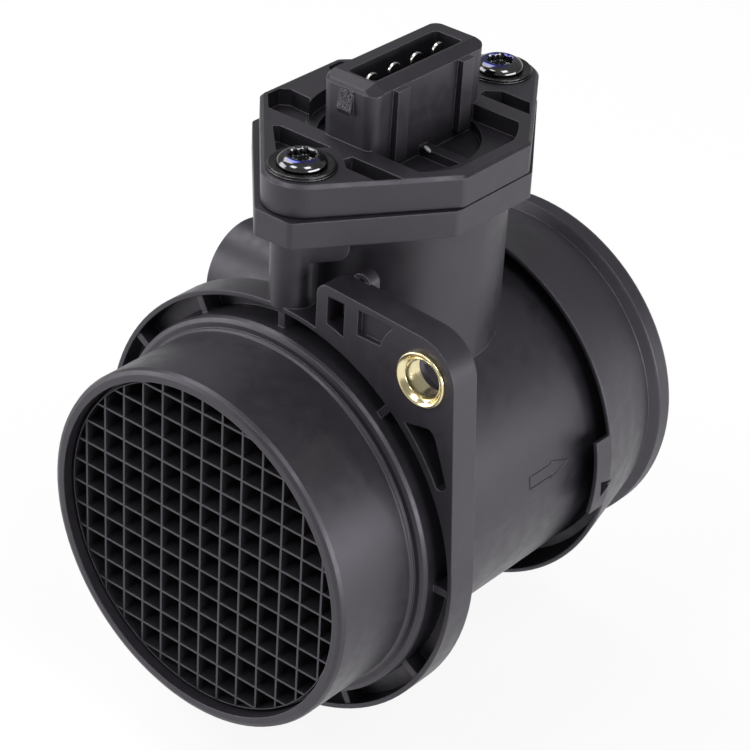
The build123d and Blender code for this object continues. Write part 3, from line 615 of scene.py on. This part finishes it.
def position_mark():
    """Small dark triangle on the collar's marking tab, flush with it; its near-black, barely reflecting
    finish is painted shade that stands in for a recessed mark.
    """
    corners = [(42.5, -1.9), (43.1, -7.3), (45.7, -3.6)]
    middle_y = sum(y for y, _ in corners) / 3
    middle_angle = sum(angle for _, angle in corners) / 3
    face_lift = 0.05
    outline = along_outline(corners, 6)
    count = len(outline)
    verts, faces = [], []
    for lift, share in ((-0.3, 1.0), (0.03, 1.0), (face_lift, 0.94)):
        for y, angle in outline:
            y = middle_y + (y - middle_y) * share
            angle = middle_angle + (angle - middle_angle) * share
            verts.append(on_duct(skirt_outside(y) + lift, angle, y))
    for start in (0, count):
        for i in range(count):
            after = (i + 1) % count
            faces.append((start + i, start + count + i, start + count + after, start + after))
    faces += [(2 * count + i, len(verts), 2 * count + (i + 1) % count) for i in range(count)]
    faces.append(range(count))
    verts.append(on_duct(skirt_outside(middle_y) + face_lift, middle_angle, middle_y))
    mesh = closed_mesh("position_mark", verts, faces)
    return add_piece("position_mark", mesh, finishes["mark_plastic"])


def moulding_gate_glint():
    """Shiny stub where the plastic was let into the mould, on the near edge of the pit's right rib; its
    light grey colour is a painted glint.
    """
    outline = [(0.0, -0.75), (0.16, -0.7), (0.27, -0.5), (0.32, 0.0), (0.27, 0.5), (0.16, 0.7), (0.0, 0.75)]
    place = Vector((6.3, 25.2, 55.45)) * mm
    mesh = turned_mesh("moulding_gate_glint", outline, place, Vector((0.95, -0.1, -0.3)).normalized(), steps=24)
    return add_piece("moulding_gate_glint", mesh, finishes["polished_plastic"])


def latch_grain(end, base_y, inwards):
    """Rough sloping face of one of the two latches; the pips are real grain, and their tone, lighter than
    the cover, is painted light on this up-facing face.
    """
    left, right = -1.52, 1.02
    top, bottom = 67.12, 64.0
    top_out, bottom_out = -0.14, -0.74
    corners = [Vector((x, base_y + inwards * out, z)) * mm
               for x, out, z in ((left, top_out, top), (right, top_out, top),
                                 (right, bottom_out, bottom), (left, bottom_out, bottom))]
    pebbled_patch(f"latch_grain_{end}", corners, 0.075, finishes["grain_plastic"])


# ---------------------------------------------------------------- stage

def lay_floor():
    """White table that shows white to the camera and in reflections, and keeps a soft shadow."""
    half = 6.0
    level = cad_low.z - 0.2 * mm
    white_share = 0.88
    corners = [(x, y, level) for x, y in ((-half, -half), (half, -half), (half, half), (-half, half))]
    mesh = bpy.data.meshes.new("studio_floor")
    mesh.from_pydata(corners, [], [(0, 1, 2, 3)])
    floor = bpy.data.objects.new("studio_floor", mesh)
    bpy.context.scene.collection.objects.link(floor)
    material, tree, shader = fresh_material("studio_floor")
    shader.inputs["Base Color"].default_value = (0.86, 0.86, 0.86, 1.0)
    shader.inputs["Roughness"].default_value = 0.9
    path = tree.nodes.new("ShaderNodeLightPath").outputs
    seen = joined(tree, "MAXIMUM", path["Is Camera Ray"], path["Is Glossy Ray"])
    seen = joined(tree, "MAXIMUM", seen, path["Is Transmission Ray"])
    share = joined(tree, "MULTIPLY", seen, white_share)
    glow = add_node(tree, "ShaderNodeEmission", Color=(1.0, 1.0, 1.0, 1.0), Strength=1.0)
    mix = add_node(tree, "ShaderNodeMixShader", i0=share, i1=shader.outputs[0], i2=glow.outputs[0])
    tree.links.new(mix.outputs[0], tree.nodes["Material Output"].inputs["Surface"])
    mesh.materials.append(material)


def light_world():
    """Dim grey room above a white horizon; the camera sees plain white."""
    world = bpy.data.worlds.new("studio_world")
    bpy.context.scene.world = world
    world.use_nodes = True
    tree = world.node_tree
    room = tree.nodes["Background"]
    room.inputs["Color"].default_value = (1.0, 1.0, 1.0, 1.0)
    room.inputs["Strength"].default_value = 0.30
    white = add_node(tree, "ShaderNodeBackground", Color=(1.0, 1.0, 1.0, 1.0), Strength=1.0)
    path = tree.nodes.new("ShaderNodeLightPath").outputs
    seen = joined(tree, "MAXIMUM", path["Is Camera Ray"], path["Is Transmission Ray"])
    mix = add_node(tree, "ShaderNodeMixShader", i0=seen, i1=room.outputs[0], i2=white.outputs[0])
    tree.links.new(mix.outputs[0], tree.nodes["World Output"].inputs["Surface"])


def hang_softbox(name, place, target, width, height, power):
    """Rectangular soft light that looks at the target."""
    lamp = bpy.data.lights.new(name, "AREA")
    lamp.shape = "RECTANGLE"
    lamp.size = width
    lamp.size_y = height
    lamp.energy = power
    box = bpy.data.objects.new(name, lamp)
    bpy.context.scene.collection.objects.link(box)
    box.location = place
    box.rotation_euler = (Vector(target) - Vector(place)).to_track_quat("-Z", "Y").to_euler()


def light_studio():
    """Five soft lights about the part. Each row: the side, the place, the width and height, the power."""
    middle = (0.0, 0.02, 0.02)
    for side, place, width, height, power in (
            ("right", (0.80, 0.10, 0.12), 0.8, 0.3, 6.2),
            ("key", (0.50, -0.10, 0.75), 0.33, 0.33, 2.5),
            ("top", (-0.50, 0.08, 0.72), 0.45, 0.45, 2.6),
            ("front", (-0.09, -0.52, 0.74), 0.3, 0.3, 2.4),
            ("left", (-0.65, -0.45, 0.20), 0.5, 0.6, 4.5)):
        hang_softbox(f"softbox_{side}", place, middle, width, height, power)


# ---------------------------------------------------------------- build

place_camera()
dress_cad_nodes()
for end in ("front", "rear"):
    cover_screw(end)
    cover_washer(end)
for side in ("upper", "lower"):
    flange_bush(side)
module_cover()
for number in (1, 2, 3, 4):
    terminal_blade(number)
latch_grain("front", 13.5, 1.0)
latch_grain("rear", 40.2, -1.0)
flow_arrow()
position_mark()
moulding_gate_glint()
lay_floor()
light_world()
light_studio()
bpy.context.scene.view_settings.view_transform = "Standard"
